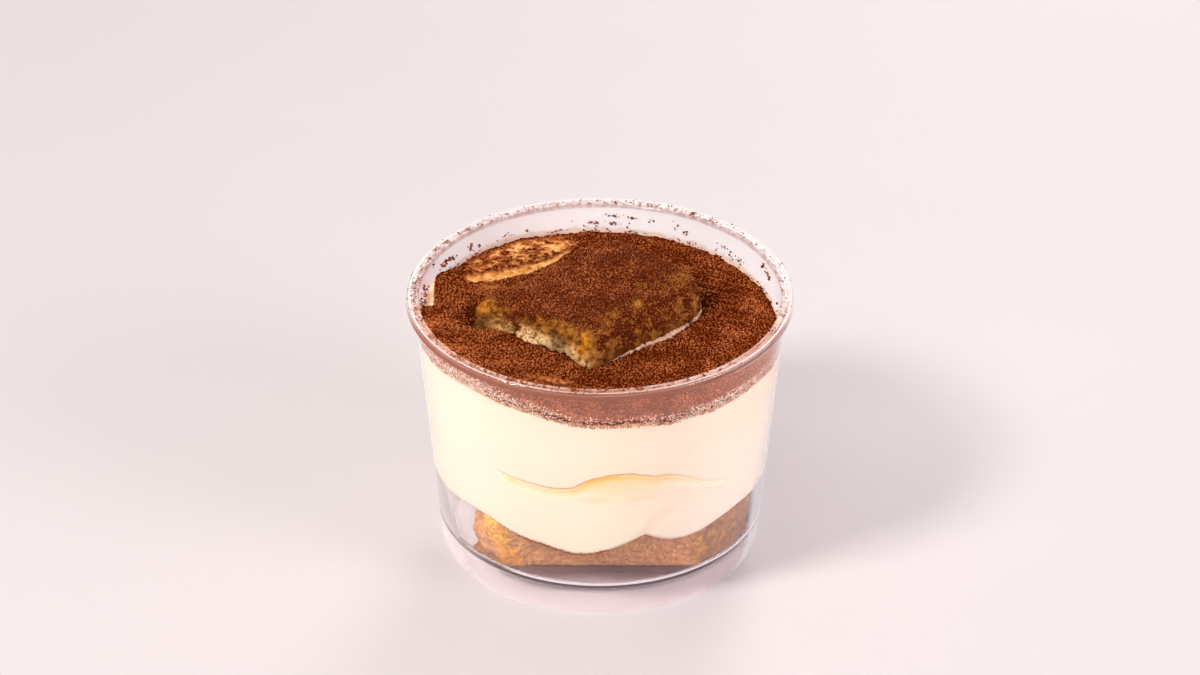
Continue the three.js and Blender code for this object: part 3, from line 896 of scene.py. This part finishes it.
bmesh.ops.remove_doubles(half, verts=half.verts, dist=1e-4)
half.normal_update()
for vert in half.verts:
    u, v = half_local(vert.co.x, vert.co.y)
    z = vert.co.z
    wander = 1.3 * noise.noise(vert.co / 2.0)
    (border,) = between(v, TORN_BORDER)
    behind_border = rise(u - border + wander, -2.8, 0.5)
    side = rise(-v, 3, 14)
    mottle = 0.3 + uneven(vert.co, (1.2, 3.0), (0.8, 1.3))
    golden = side * (0.1 + 0.8 * min(max(mottle, 0), 1))
    golden = max(golden, patches_at(GOLDEN, u, v) * min(1, 0.75 + 0.5 * mottle), 0.55 * rise(-v, 14.5, 17.5))
    golden = max(golden, 0.36 * rise(border + 1.0 - u + 1.2 * mottle, -1.6, 0.8))
    left_orange = 0.95 * round_patch(u, v, -24.6, 15.6, 1.9) * rise(z, 61.5, 63.5)
    right_orange = 1.15 * round_patch(u, v, -18.9, -12.9, 1.75)
    upward = rise(vert.normal.z, 0.1, 0.65)
    left_end = 0.95 * rise(v, 16.4, 18.0) * rise(-u, 12, 18)
    cover = max(behind_border, left_end) * (1 - 0.8 * min(1, left_orange + right_orange))
    vert[half_layers["dusted"]] = cover
    vert[half_layers["golden"]] = min(1.3, golden * (1.2 - 0.2 * upward) + 0.8 * (left_orange + right_orange))
    vert[half_layers["torn"]] *= (1 - 0.5 * rise(u - border + wander, -1.0, 1.6)) * rise(v, -16.8, -14.0)
    vert[half_layers["orange"]] = min(1, left_orange + right_orange)
    low_edge = rise(z, 63.2, 60.8) * (bump(v, 1, 7.5) + 0.45 * bump(v, -10.5, 2.6))
    # A painted highlight at the front tip.
    low_edge += 1.3 * rise(z, 61.2, 60.5) * bump(v, -15.8, 2.0)
    vert[half_layers["pale"]] = min(1, low_edge)
    # The dark layer is painted shade: in the pits, at the shaded lower left end and in the split by the
    # notch.
    in_shade = 0.9 * rise(v, 12, 15) * rise(-u, 15, 20) * rise(z, 64.2, 62.0)
    split = 0.7 * bump(v, -4.6, 1.8) * rise(-u, 12, 15) * rise(z, 65, 63)
    vert[half_layers["dark"]] = min(1, max(patches_at(PITS, u, v), in_shade, split))


def half_relief(vert):
    x, y, z = vert.co
    dusted, torn = vert[half_layers["dusted"]], vert[half_layers["torn"]]
    crumb = 0.55 * pores(x, y, z, 1.7, 0.6) + 0.4 * pores(x, y, z, 0.9, 0.55)
    crust = uneven(vert.co, (0.35, 1.8), (0.16, 0.7))
    pits = 0.7 * vert[half_layers["dark"]]
    return torn * (0.3 - crumb) + crust * (1 - torn) + 0.8 * dusted * clumps(x, y + 0.8 * z) - pits


press_out(half, half_relief)
for vert in half.verts:
    vert.co.z = min(vert.co.z, HALF_TOP + 0.5)
half_shape = BVHTree.FromBMesh(half)
half_dusted = [max(vert[half_layers["dusted"]] for vert in face.verts) for face in half.faces]
half_golden = [max(vert[half_layers["golden"]] for vert in face.verts) for face in half.faces]
half_finger = finish_mesh(half, "broken_half_finger")

baked = Finish("baked_sponge", roughness=0.85, specular_ior_level=0.08)
crumb_tone = baked.noise(1.3, 4.0, 0.65)
# Painted shade in the crumb's open pores.
pore_shade = (baked.cells(1.0) + (baked.noise(0.5) - 0.5) * 0.5).step(0.46, 0.16)
high_crumb = baked.blend(crumb_tone.step(0.36, 0.62), (0.13, 0.040, 0.004), (0.46, 0.17, 0.024))
low_crumb = baked.blend(crumb_tone.step(0.34, 0.58), (0.23, 0.092, 0.012), (0.60, 0.29, 0.078))
open_crumb = baked.blend(baked.z.step(61.8, 65.0), low_crumb, high_crumb)
# Pale crumb, and at the front tip a painted highlight.
open_crumb = baked.blend(baked.attribute("pale") * crumb_tone.step(0.36, 0.5), open_crumb, (0.98, 0.68, 0.34))
open_crumb = baked.blend(pore_shade * 0.62, open_crumb, (0.11, 0.042, 0.004))


def crust_colour(finish):
    """Baked crust: brown with golden places."""
    tone = finish.noise(1.0, 4.0, 0.7)
    brown = finish.blend(tone.step(0.34, 0.55), (0.15, 0.038, 0.003), (0.36, 0.118, 0.019))
    return finish.blend(tone.step(0.52, 0.70), brown, (0.56, 0.23, 0.062))


crust = crust_colour(baked)
bare_crust = baked.attribute("golden").step(0.9, 1.25) * crumb_tone.step(0.4, 0.55)
crust = baked.blend(bare_crust, crust, (0.56, 0.26, 0.09))
# Darker towards the foot of the crust.
dark_crust_foot = baked.z.step(62.0, 60.9) * baked.noise(1.5, 3.0).step(0.3, 0.55)
crust = baked.blend(dark_crust_foot * 0.7, crust, (0.19, 0.080, 0.006))
sponge = baked.blend(baked.attribute("torn"), crust, open_crumb)
sponge = baked.blend(baked.attribute("orange").step(0.15, 0.8), sponge,
                     baked.blend(crumb_tone.step(0.35, 0.6), (0.27, 0.078, 0.005), (0.62, 0.235, 0.020)))
# Painted shade from the dark layer.
sponge = baked.blend(baked.attribute("dark") * 0.75, sponge, (0.05, 0.015, 0.003))
powder_share = baked.attribute("dusted") - baked.attribute("golden") * 0.75
powdered = (powder_share + (baked.noise(0.8, 4.0, 0.75) - 0.5) * 1.7).step(0.30, 0.55)
baked.feed(baked.shader.inputs["Base Color"], baked.blend(powdered, sponge, cocoa_colour(baked, 0.4)))
baked.bumped(baked.noise(0.35, 3.0, 0.7), 0.2, 0.8)
half_finger.data.materials.append(baked.material)
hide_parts("ladyfinger_top")
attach(half_finger, "root")

# ---------------------------------------------------------------------------------------------
# Loose cocoa. Sieved grains on the skin and on the half finger, and specks that cling to the rim
# and to the wall above the filling. Each grain is a small eight-sided lump.
chance = np.random.default_rng(20)


def tumbled(count):
    """Random turns as rows of three unit axes."""
    return np.linalg.qr(chance.normal(size=(count, 3, 3)))[0]


def grain_mesh(name, centres, half_axes):
    """One mesh of eight-sided lumps, centres and half axes in millimetres."""
    centres = np.asarray(centres)[:, None, :]
    half_axes = np.asarray(half_axes)
    corners = np.concatenate([centres + half_axes, centres - half_axes], axis=1)
    faces = np.array([
        (0, 1, 2), (1, 3, 2), (3, 4, 2), (4, 0, 2), (1, 0, 5), (3, 1, 5), (4, 3, 5), (0, 4, 5),
    ])
    all_faces = (np.arange(len(centres))[:, None, None] * 6 + faces).reshape(-1, 3)
    body = bpy.data.meshes.new(name)
    body.from_pydata((corners.reshape(-1, 3) * MM).tolist(), [], all_faces.tolist())
    work = bmesh.new()
    work.from_mesh(body)
    bmesh.ops.recalc_face_normals(work, faces=work.faces)
    for face in work.faces:
        face.smooth = True
    work.to_mesh(body)
    work.free()
    piece = bpy.data.objects.new(name, body)
    bpy.context.scene.collection.objects.link(piece)
    return piece


def lumps(sizes, flatness=0.75):
    """Half axes of tumbled lumps of the given radii."""
    stretch = chance.uniform(flatness, 1.25, (len(sizes), 3, 1))
    return tumbled(len(sizes)) * stretch * np.asarray(sizes)[:, None, None]


grains = Finish("cocoa_grains", roughness=0.95, specular_ior_level=0.0)
grains.feed(grains.shader.inputs["Base Color"], cocoa_colour(grains, -0.21))

GRAIN_STEP = 0.68
GRAIN_SIZES = (0.2, 0.33)


def grain_grid(reach):
    """Places on a loose even grid within reach of the axis."""
    rows = int(2 * reach / (GRAIN_STEP * 0.866)) + 1
    for row in range(rows):
        for column in range(int(2 * reach / GRAIN_STEP) + 1):
            x = -reach + (column + 0.5 * (row % 2)) * GRAIN_STEP + chance.normal(0, 0.2)
            y = -reach + row * GRAIN_STEP * 0.866 + chance.normal(0, 0.2)
            if math.hypot(x, y) < reach:
                yield x, y


spots, sizes = [], []
for x, y in grain_grid(43.35):
    if outside_half(x, y) < 0.1:
        continue
    bare, hollow_here = bareness(x, y), shaded_hollows(x, y)
    if chance.random() < max(1.25 * bare, 0.7 * hollow_here):
        continue
    size = chance.uniform(*GRAIN_SIZES) * (1 - 0.35 * bare)
    spots.append((x, y, cocoa_top(x, y) + chance.uniform(-0.1, 0.7) * size))
    sizes.append(size)
top_grains = grain_mesh("cocoa_grains", spots, lumps(sizes))
top_grains.data.materials.append(grains.material)
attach(top_grains, "root")

spots, sizes, crusty = [], [], []
for x, y in grain_grid(30):
    x, y = x + HALF_CENTRE[0], y + HALF_CENTRE[1]
    place, normal, index, _ = half_shape.ray_cast(Vector((x, y, 80)), Vector((0, 0, -1)))
    if place is None or place.z < 60.9 or chance.random() > 1.1 * half_dusted[index]:
        continue
    size = chance.uniform(*GRAIN_SIZES)
    spots.append(place + normal * size * chance.uniform(-0.1, 0.6))
    sizes.append(size)
    crusty.append(half_golden[index] + chance.normal(0, 0.10))
finger_grains = grain_mesh("finger_grains", spots, lumps(sizes))
crust_share = finger_grains.data.attributes.new("crusty", "FLOAT", "POINT")
crust_share.data.foreach_set("value", np.repeat(crusty, 6))
lumpy = Finish("crust_grains", roughness=0.95, specular_ior_level=0.0)
crusty_share = lumpy.attribute("crusty")
lump_colour = lumpy.blend(crusty_share.step(0.25, 0.75), cocoa_colour(lumpy, -0.14), crust_colour(lumpy))
lumpy.feed(lumpy.shader.inputs["Base Color"],
           lumpy.blend(crusty_share.step(0.85, 1.2) * 0.6, lump_colour, (0.56, 0.25, 0.08)))
finger_grains.data.materials.append(lumpy.material)
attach(finger_grains, "root")

# ---------------------------------------------------------------------------------------------
# Specks on the plastic. Cocoa dust on the flange and the inner wall, and flecks of cream between
# the grains where the top of the cream is pressed against the wall.
RIM_DUST = [  # angle, how dusty the rim is
    (-180, 0.7), (-150, 0.35), (-120, 0.6), (-100, 1.3), (-85, 1.4), (-60, 1.2), (-30, 1.5), (-12, 1.8),
    (2, 1.4), (20, 0.8), (40, 0.6), (60, 0.6), (90, 0.3), (120, 0.25), (150, 0.6), (172, 1.2),
    (180, 0.7),
]


def on_wall(angle, z, inset=-0.2):
    """A place that far inside the wall's inner face, or just into the plastic."""
    return wall_spot(angle, z, inner_radius(z) - inset)


spots, sizes = [], []
for angle in chance.uniform(-180, 180, 9000):
    cluster = noise.noise(Vector((angle / 5, 2, 9))) + 0.7 * noise.noise(Vector((angle / 1.3, 5, 1)))
    if chance.random() > between(angle, RIM_DUST)[0] * (0.12 + 0.85 * max(cluster, 0)):
        continue
    spots.append(wall_spot(angle, chance.uniform(67.72, 67.88), 44.6 + 2.6 * chance.random() ** 1.4))
    sizes.append((0.11 + 0.30 * chance.random() ** 2.2) * (1 - 0.28 * rise(abs(angle), 30, 60)))
DUST_SPOTS = [  # angle, height, spread in degrees, spread in height, number of specks
    (-100.5, 61.2, 2.2, 0.9, 46), (-101.5, 64.1, 0.7, 0.35, 8), (-112, 66.0, 0.7, 0.35, 8),
    (-120, 63.7, 3.2, 0.45, 34), (-133, 63.9, 0.7, 0.4, 7), (-134, 62.5, 1.5, 0.4, 8),
    (-147, 62.2, 3.0, 0.3, 10), (-166, 60.6, 2.0, 0.3, 8), (179, 62.4, 3.0, 0.3, 16),
    (174.5, 64.3, 1.6, 0.25, 14), (170, 64.0, 1.0, 0.2, 5), (163, 63.7, 0.8, 0.25, 5),
    (155, 63.5, 0.8, 0.4, 4), (150, 62.2, 0.8, 0.4, 7), (135, 62.4, 1.6, 0.3, 9),
    (128, 61.3, 2.0, 0.4, 14), (111, 64.0, 2.5, 0.7, 16), (70, 62.5, 14.0, 1.6, 50),
    (-75, 62.0, 14.0, 1.8, 80), (0, 61.0, 40.0, 1.4, 50),
]
for middle, height, turn, lift, count in DUST_SPOTS:
    for _ in range(count):
        angle, z = chance.normal(middle, turn), chance.normal(height, lift)
        size = 0.16 + 0.34 * chance.random() ** 2
        if edge_height(angle) + COCOA_LIFT + 0.3 < z < 66.8:
            spots.append(on_wall(angle, z, 0.5 * size))
            sizes.append(size)
for angle in chance.uniform(-180, 180, 1300):
    climb = chance.exponential(0.35)
    cluster = noise.noise(Vector((angle / 4, 1.5, 4)))
    if chance.random() > 0.05 + 1.5 * max(cluster, 0):
        continue
    z = edge_height(angle) + COCOA_LIFT + climb
    size = 0.13 + 0.18 * chance.random()
    spots.append(on_wall(angle, z, 0.5 * size))
    sizes.append(size)
rim_specks = grain_mesh("rim_specks", spots, lumps(sizes))
speck = Finish("cocoa_specks", roughness=0.9, specular_ior_level=0.0)
darkest = speck.blend(speck.y.step(-15.0, -30.0), (0.08, 0.020, 0.008), (0.24, 0.070, 0.028))
speck.feed(speck.shader.inputs["Base Color"],
           speck.blend(speck.noise(1.2).step(0.35, 0.65), darkest, (0.46, 0.14, 0.055)))
rim_specks.data.materials.append(speck.material)
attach(rim_specks, "root")


def wall_flakes(count, low, high, weigh, long_size, thin_size):
    """Flat flakes pressed against the inside of the wall, low to high over the cream's edge."""
    flake_spots, flake_axes = [], []
    for _ in range(count):
        angle = chance.uniform(-100, 100)
        over = chance.uniform(low, high)
        if chance.random() > weigh(angle, over):
            continue
        z = edge_height(angle) + over
        out = wall_spot(angle, 0, 1)
        lean = chance.normal(0, 0.6)
        sideways = Vector((-out.y, out.x, 0))
        along = sideways * math.cos(lean) + Vector((0, 0, math.sin(lean)))
        across = out.cross(along)
        long_half = long_size * chance.uniform(0.5, 1.3)
        thin_half = thin_size * chance.uniform(0.6, 1.4)
        flake_spots.append(on_wall(angle, z))
        flake_axes.append((along * long_half, across * thin_half, out * 0.06))
    return flake_spots, flake_axes


def upright_axes(angle, wide, tall, thick):
    """Half axes of a dab that lies upright and flat on the wall."""
    out = wall_spot(angle, 0, 1)
    return Vector((-out.y, out.x, 0)) * wide, Vector((0, 0, tall)), out * thick


def fleck_weight(angle, over):
    sides = 0.95 * bump(angle, -48, 26) + 0.75 * bump(angle, 48, 22) + 0.16
    return sides * rise(over, 3.2 + 1.5 * bump(angle, -48, 30), 1.2)


spots, axes = wall_flakes(13000, -0.6, 4.6, fleck_weight, 0.21, 0.12)
SMEARS = [  # angles from and to, heights from and to, number of dabs of cream on the wall
    (-106, -99, 60.0, 60.9, 40), (97, 104, 57.4, 59.0, 50), (91.5, 94, 59.2, 62.0, 30),
]
for first, last, low, high, count in SMEARS:
    for _ in range(count):
        angle, z = chance.uniform(first, last), chance.uniform(low, high)
        spots.append(on_wall(angle, z, 0.1))
        axes.append(upright_axes(angle, 0.5, 0.7, 0.16))
cream_flecks = grain_mesh("cream_flecks", spots, axes)
fleck = Finish("fleck_cream", roughness=0.6)
fleck.feed(fleck.shader.inputs["Base Color"],
           fleck.blend(fleck.noise(1.5).step(0.35, 0.65), (0.92, 0.60, 0.45), (1.0, 0.90, 0.79)))
cream_flecks.data.materials.append(fleck.material)
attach(cream_flecks, "root")


def stain_weight(angle, over):
    beads = 0.5 + 1.2 * noise.noise(Vector((angle / 1.6, 1, 3)))
    return max(beads, 0) * bump(over, -0.25, 0.4) * rise(abs(angle - 6), 60, 20)


spots, axes = wall_flakes(3000, -0.8, 0.5, stain_weight, 0.2, 0.13)
for angle in chance.uniform(-29, 3, 260):
    # Crumbs of the soaked sponge caught in the lower edge of the cream.
    z = cream_hem(angle) + 0.15 - abs(chance.normal(0, 0.22)) + 0.2 * noise.noise(Vector((angle / 0.7, 4, 4)))
    size = chance.uniform(0.08, 0.2)
    spots.append(on_wall(angle, z))
    axes.append(upright_axes(angle, size, size * 1.3, 0.06))
edge_stains = grain_mesh("edge_stains", spots, axes)
edge_stains.data.materials.append(speck.material)
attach(edge_stains, "root")

# ---------------------------------------------------------------------------------------------
# Cream seam. A thin bead of cream squeezed up along the half finger's lower front right side.
SEAM_STEPS = 149
SEAM_SIDES = 8
seam = bmesh.new()
seam_rings = []
for step in range(SEAM_STEPS + 1):
    theta = math.radians(-133 + 97 * step / SEAM_STEPS)
    u, v = half_outline(theta) * math.cos(theta), half_outline(theta) * math.sin(theta)
    x, y = half_to_cup(u, v)
    out = Vector((x - HALF_CENTRE[0], y - HALF_CENTRE[1], 0)).normalized()
    ends = rise(step, 0, 22) * rise(step, SEAM_STEPS, SEAM_STEPS - 14)
    lump = 0.6 + 0.6 * bump(u, 4, 7) + 0.75 * noise.noise(Vector((step / 6, 0, 5)))
    lump += 0.35 * noise.noise(Vector((step / 2, 3, 5)))
    gap = 1 - bump(u, 11.8, 1.0)
    width = max(0.05, 0.82 * ends * gap * max(lump, 0.1))
    middle = Vector((x, y, cocoa_top(x + out.x, y + out.y) + 0.1)) - out * (0.35 - 0.35 * width)
    ring = []
    for turn in range(SEAM_SIDES):
        a = turn * 2 * math.pi / SEAM_SIDES
        side = middle + out * width * math.cos(a)
        ring.append(seam.verts.new(side + Vector((0, 0, 0.7 * width * math.sin(a)))))
    seam_rings.append(ring)
for first, second in zip(seam_rings, seam_rings[1:]):
    for n in range(SEAM_SIDES):
        after = (n + 1) % SEAM_SIDES
        seam.faces.new((first[n], first[after], second[after], second[n]))
seam.faces.new(seam_rings[0])
seam.faces.new(seam_rings[-1])
bmesh.ops.recalc_face_normals(seam, faces=seam.faces)
seam_bead = finish_mesh(seam, "cream_seam")
bead = Finish("seam_cream_in_painted_shade", roughness=0.5)
# The bead's cream is painted brownish pink, as cream lying in shade.
bead.feed(bead.shader.inputs["Base Color"],
          bead.blend(bead.noise(0.8).step(0.35, 0.6), (0.46, 0.23, 0.145), (0.74, 0.47, 0.34)))
bead.bumped(bead.noise(0.5), 0.15)
seam_bead.data.materials.append(bead.material)
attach(seam_bead, "root")

# ---------------------------------------------------------------------------------------------
# Surface, lamps and camera: a pale table that the cup stands on, one broad soft lamp at the front
# left, a weaker one at the right and an even pale room.
table = bmesh.new()
bmesh.ops.create_grid(table, x_segments=2, y_segments=2, size=1500)
floor = finish_mesh(table, "table_top")
pale = Finish("pale_table", roughness=0.6)
pale.feed(pale.shader.inputs["Base Color"],
          pale.blend(pale.noise(60.0, 2.0), (0.70, 0.64, 0.65), (0.72, 0.66, 0.67)))
floor.data.materials.append(pale.material)

room = bpy.data.worlds.new("room")
room.use_nodes = True
room_light = room.node_tree.nodes["Background"]
room_light.inputs["Color"].default_value = (1.0, 0.97, 0.965, 1)
room_light.inputs["Strength"].default_value = 0.48
bpy.context.scene.world = room


def soft_lamp(name, place, size, power, colour):
    data = bpy.data.lights.new(name, "AREA")
    data.shape = "DISK"
    data.size = size
    data.energy = power
    data.color = colour
    lamp = bpy.data.objects.new(name, data)
    lamp.location = place
    lamp.rotation_euler = (Vector((0, 0, 0.04)) - Vector(place)).to_track_quat("-Z", "Y").to_euler()
    bpy.context.scene.collection.objects.link(lamp)


soft_lamp("key_lamp", (-0.66, -0.43, 0.75), 0.26, 7.6, (1.0, 0.975, 0.93))
soft_lamp("back_lamp", (0.25, 0.95, 0.55), 0.5, 4.5, (1.0, 0.98, 0.97))
soft_lamp("fill_lamp", (0.73, -0.42, 0.4), 0.4, 3.6, (1.0, 0.90, 0.94))

LOOKS_DOWN = 31.2256
view = bpy.data.cameras.new("camera")
view.lens = 132.0
view.sensor_width = 36
view.clip_end = 20
camera = bpy.data.objects.new("camera", view)
camera.location = (0, -0.9266, 0.6167)
camera.rotation_euler = (math.radians(90 - LOOKS_DOWN), 0, 0)
bpy.context.scene.collection.objects.link(camera)
bpy.context.scene.camera = camera
bpy.context.scene.view_settings.view_transform = "Standard"
